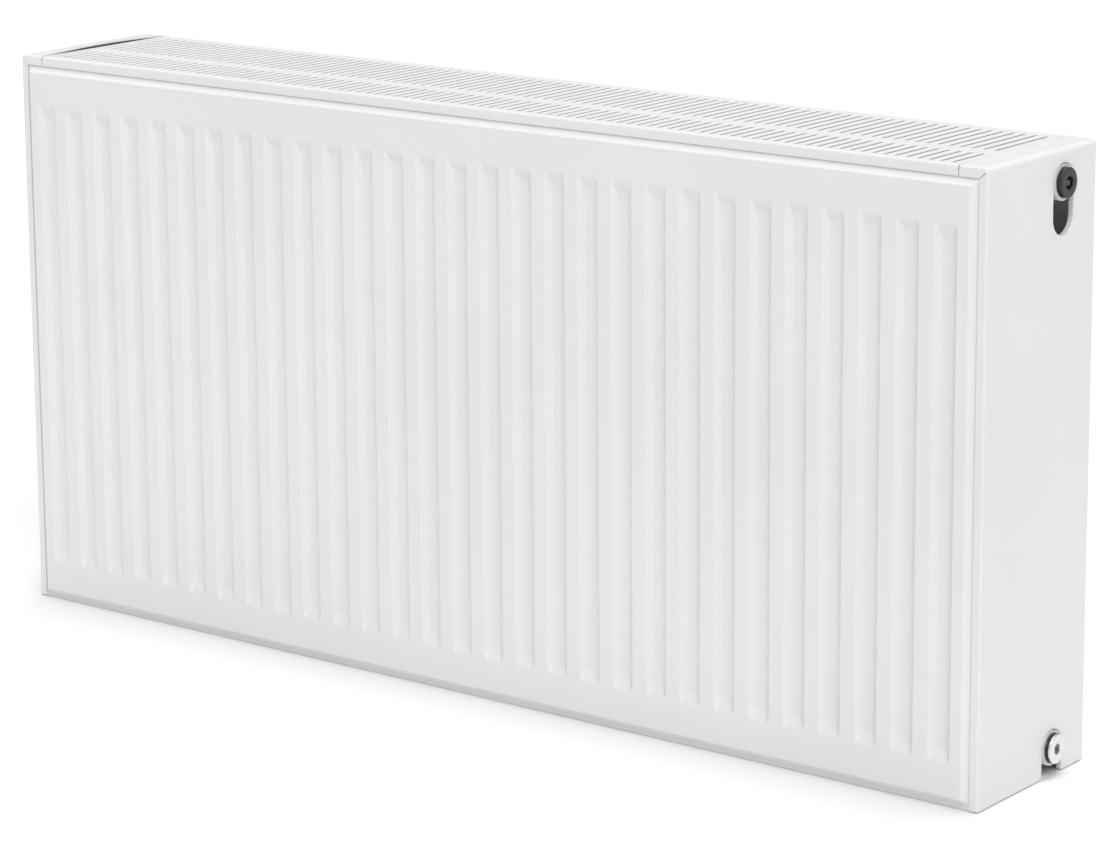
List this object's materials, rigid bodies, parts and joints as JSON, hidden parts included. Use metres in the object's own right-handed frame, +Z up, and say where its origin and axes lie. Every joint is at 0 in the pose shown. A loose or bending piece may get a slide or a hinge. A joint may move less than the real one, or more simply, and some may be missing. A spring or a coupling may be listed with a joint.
{
  "type": "panel radiator",
  "caption": "White steel panel radiator: grooved front panel, further panels and convectors behind it, slotted top grille and side covers with screw plugs in the end ports.",
  "frame": {"origin": "on the floor under the middle of the casing, half way along its length and its depth; the plugs stand 5 mm past one end, the front panel 4 mm past the casing's front and the wall lugs 12 mm past its back, so the outer box is centred on it within 4 mm", "axes": "+X along the length towards the end with the two plugs, +Y through the depth towards the wall (the room side faces -Y), +Z up"},
  "size_m": [1.005, 0.176, 0.5],
  "materials": {
    "white_powder_coat": "semi-gloss white powder coat",
    "convector_paint": "thin white primer on steel sheet",
    "nickel_plate": "satin nickel plate on brass",
    "black_plastic": "moulded black plastic",
    "black_rubber": "black EPDM",
    "zinc_steel": "zinc-plated spring steel"
  },
  "bodies": {
    "radiator_body": {"front_panel_outer_sheet": "white_powder_coat", "front_panel_inner_sheet": "white_powder_coat", "middle_panel_front_sheet": "white_powder_coat", "middle_panel_rear_sheet": "white_powder_coat", "rear_panel_inner_sheet": "white_powder_coat", "rear_panel_outer_sheet": "white_powder_coat", "front_convector": "convector_paint", "middle_convector": "convector_paint", "rear_convector": "convector_paint", "tee_lower_left": "white_powder_coat", "spacer_lower_left": "white_powder_coat", "wall_lug_lower_left": "white_powder_coat", "cover_bracket_lower_left": "white_powder_coat", "tee_lower_right": "white_powder_coat", "spacer_lower_right": "white_powder_coat", "wall_lug_lower_right": "white_powder_coat", "cover_bracket_lower_right": "white_powder_coat", "tee_upper_left": "white_powder_coat", "spacer_upper_left": "white_powder_coat", "wall_lug_upper_left": "white_powder_coat", "cover_bracket_upper_left": "white_powder_coat", "tee_upper_right": "white_powder_coat", "spacer_upper_right": "white_powder_coat", "wall_lug_upper_right": "white_powder_coat", "cover_bracket_upper_right": "white_powder_coat"},
    "left_cover": {"side_cover_left": "white_powder_coat", "cover_hook_lower_left": "white_powder_coat", "cover_hook_upper_left": "white_powder_coat"},
    "right_cover": {"side_cover_right": "white_powder_coat", "cover_hook_lower_right": "white_powder_coat", "cover_hook_upper_right": "white_powder_coat"},
    "grille": {"top_grille": "white_powder_coat", "grille_clip_left": "zinc_steel", "grille_clip_middle": "zinc_steel", "grille_clip_right": "zinc_steel"},
    "blanking_seal": {"blanking_plug_o_ring": "black_rubber"},
    "blanking_screw": {"blanking_plug": "nickel_plate"},
    "vent_seal": {"vent_plug_seal": "black_rubber"},
    "vent_screw": {"vent_plug": "black_plastic"},
    "bleed_screw": {"bleed_screw": "nickel_plate"}
  },
  "joints": [
    {"name": "left_cover_lift", "type": "slide", "parent": "radiator_body", "child": "left_cover", "axis": [0, 0, 1], "range_m": [0, 0.026]},
    {"name": "right_cover_lift", "type": "slide", "parent": "radiator_body", "child": "right_cover", "axis": [0, 0, 1], "range_m": [0, 0.026]},
    {"name": "grille_lift_off", "type": "slide", "parent": "radiator_body", "child": "grille", "axis": [0, 0, 1], "range_m": [0, 0.06]},
    {"name": "blanking_plug_travel", "type": "slide", "parent": "radiator_body", "child": "blanking_seal", "axis": [1, 0, 0], "range_m": [0, 0.0128]},
    {"name": "blanking_plug_turn", "type": "hinge", "parent": "blanking_seal", "child": "blanking_screw", "pos_m": [0.5, 0.031, 0.023], "axis": [1, 0, 0], "range_deg": [0, 2520]},
    {"name": "vent_plug_travel", "type": "slide", "parent": "radiator_body", "child": "vent_seal", "axis": [1, 0, 0], "range_m": [0, 0.0128]},
    {"name": "vent_plug_turn", "type": "hinge", "parent": "vent_seal", "child": "vent_screw", "pos_m": [0.5, 0.031, 0.473], "axis": [1, 0, 0], "range_deg": [0, 2520]},
    {"name": "bleed_screw_turn", "type": "hinge", "parent": "vent_screw", "child": "bleed_screw", "pos_m": [0.5, 0.031, 0.473], "axis": [1, 0, 0], "range_deg": [0, 360]}
  ],
  "couplings": [
    {"joint": "blanking_plug_travel", "follows": "blanking_plug_turn", "m_per_rad": 0.00028876},
    {"joint": "vent_plug_travel", "follows": "vent_plug_turn", "m_per_rad": 0.00028876}
  ]
}
